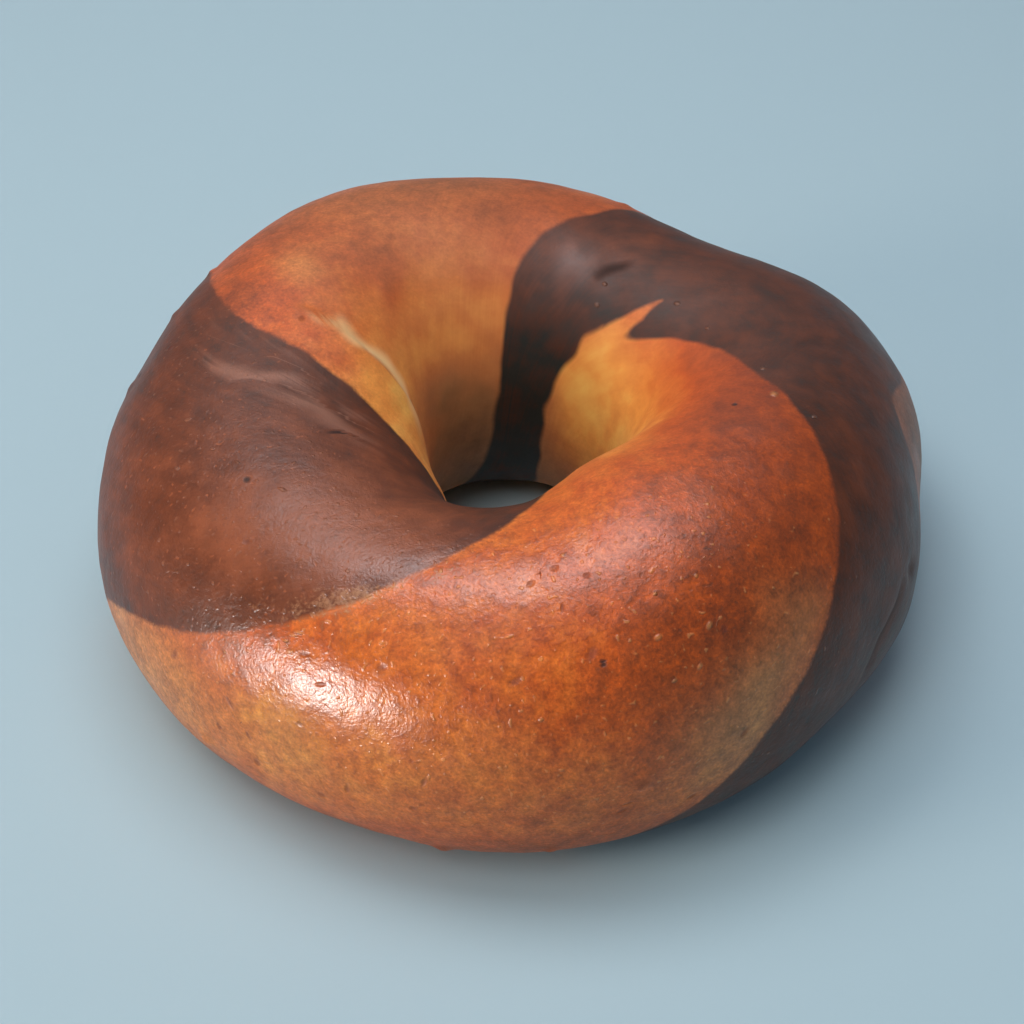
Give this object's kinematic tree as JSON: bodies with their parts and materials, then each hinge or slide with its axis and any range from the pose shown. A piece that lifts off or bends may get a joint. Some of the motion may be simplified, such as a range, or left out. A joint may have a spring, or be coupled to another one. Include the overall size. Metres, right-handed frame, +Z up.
{
  "type": "bagel",
  "caption": "Round ring of boiled and baked bread with a hole through it, rolled from a pale and a dark dough, lying on its flat base.",
  "frame": {"origin": "centre of the bounding box, on the flat base that the bagel lies on", "axes": "+Z up out of the crown, -Y towards the front, +X to the right when looking at the front"},
  "size_m": [0.1122, 0.1132, 0.0441],
  "materials": {
    "crust": "satin"
  },
  "bodies": {
    "root": {"bagel": "crust"}
  },
  "joints": []
}
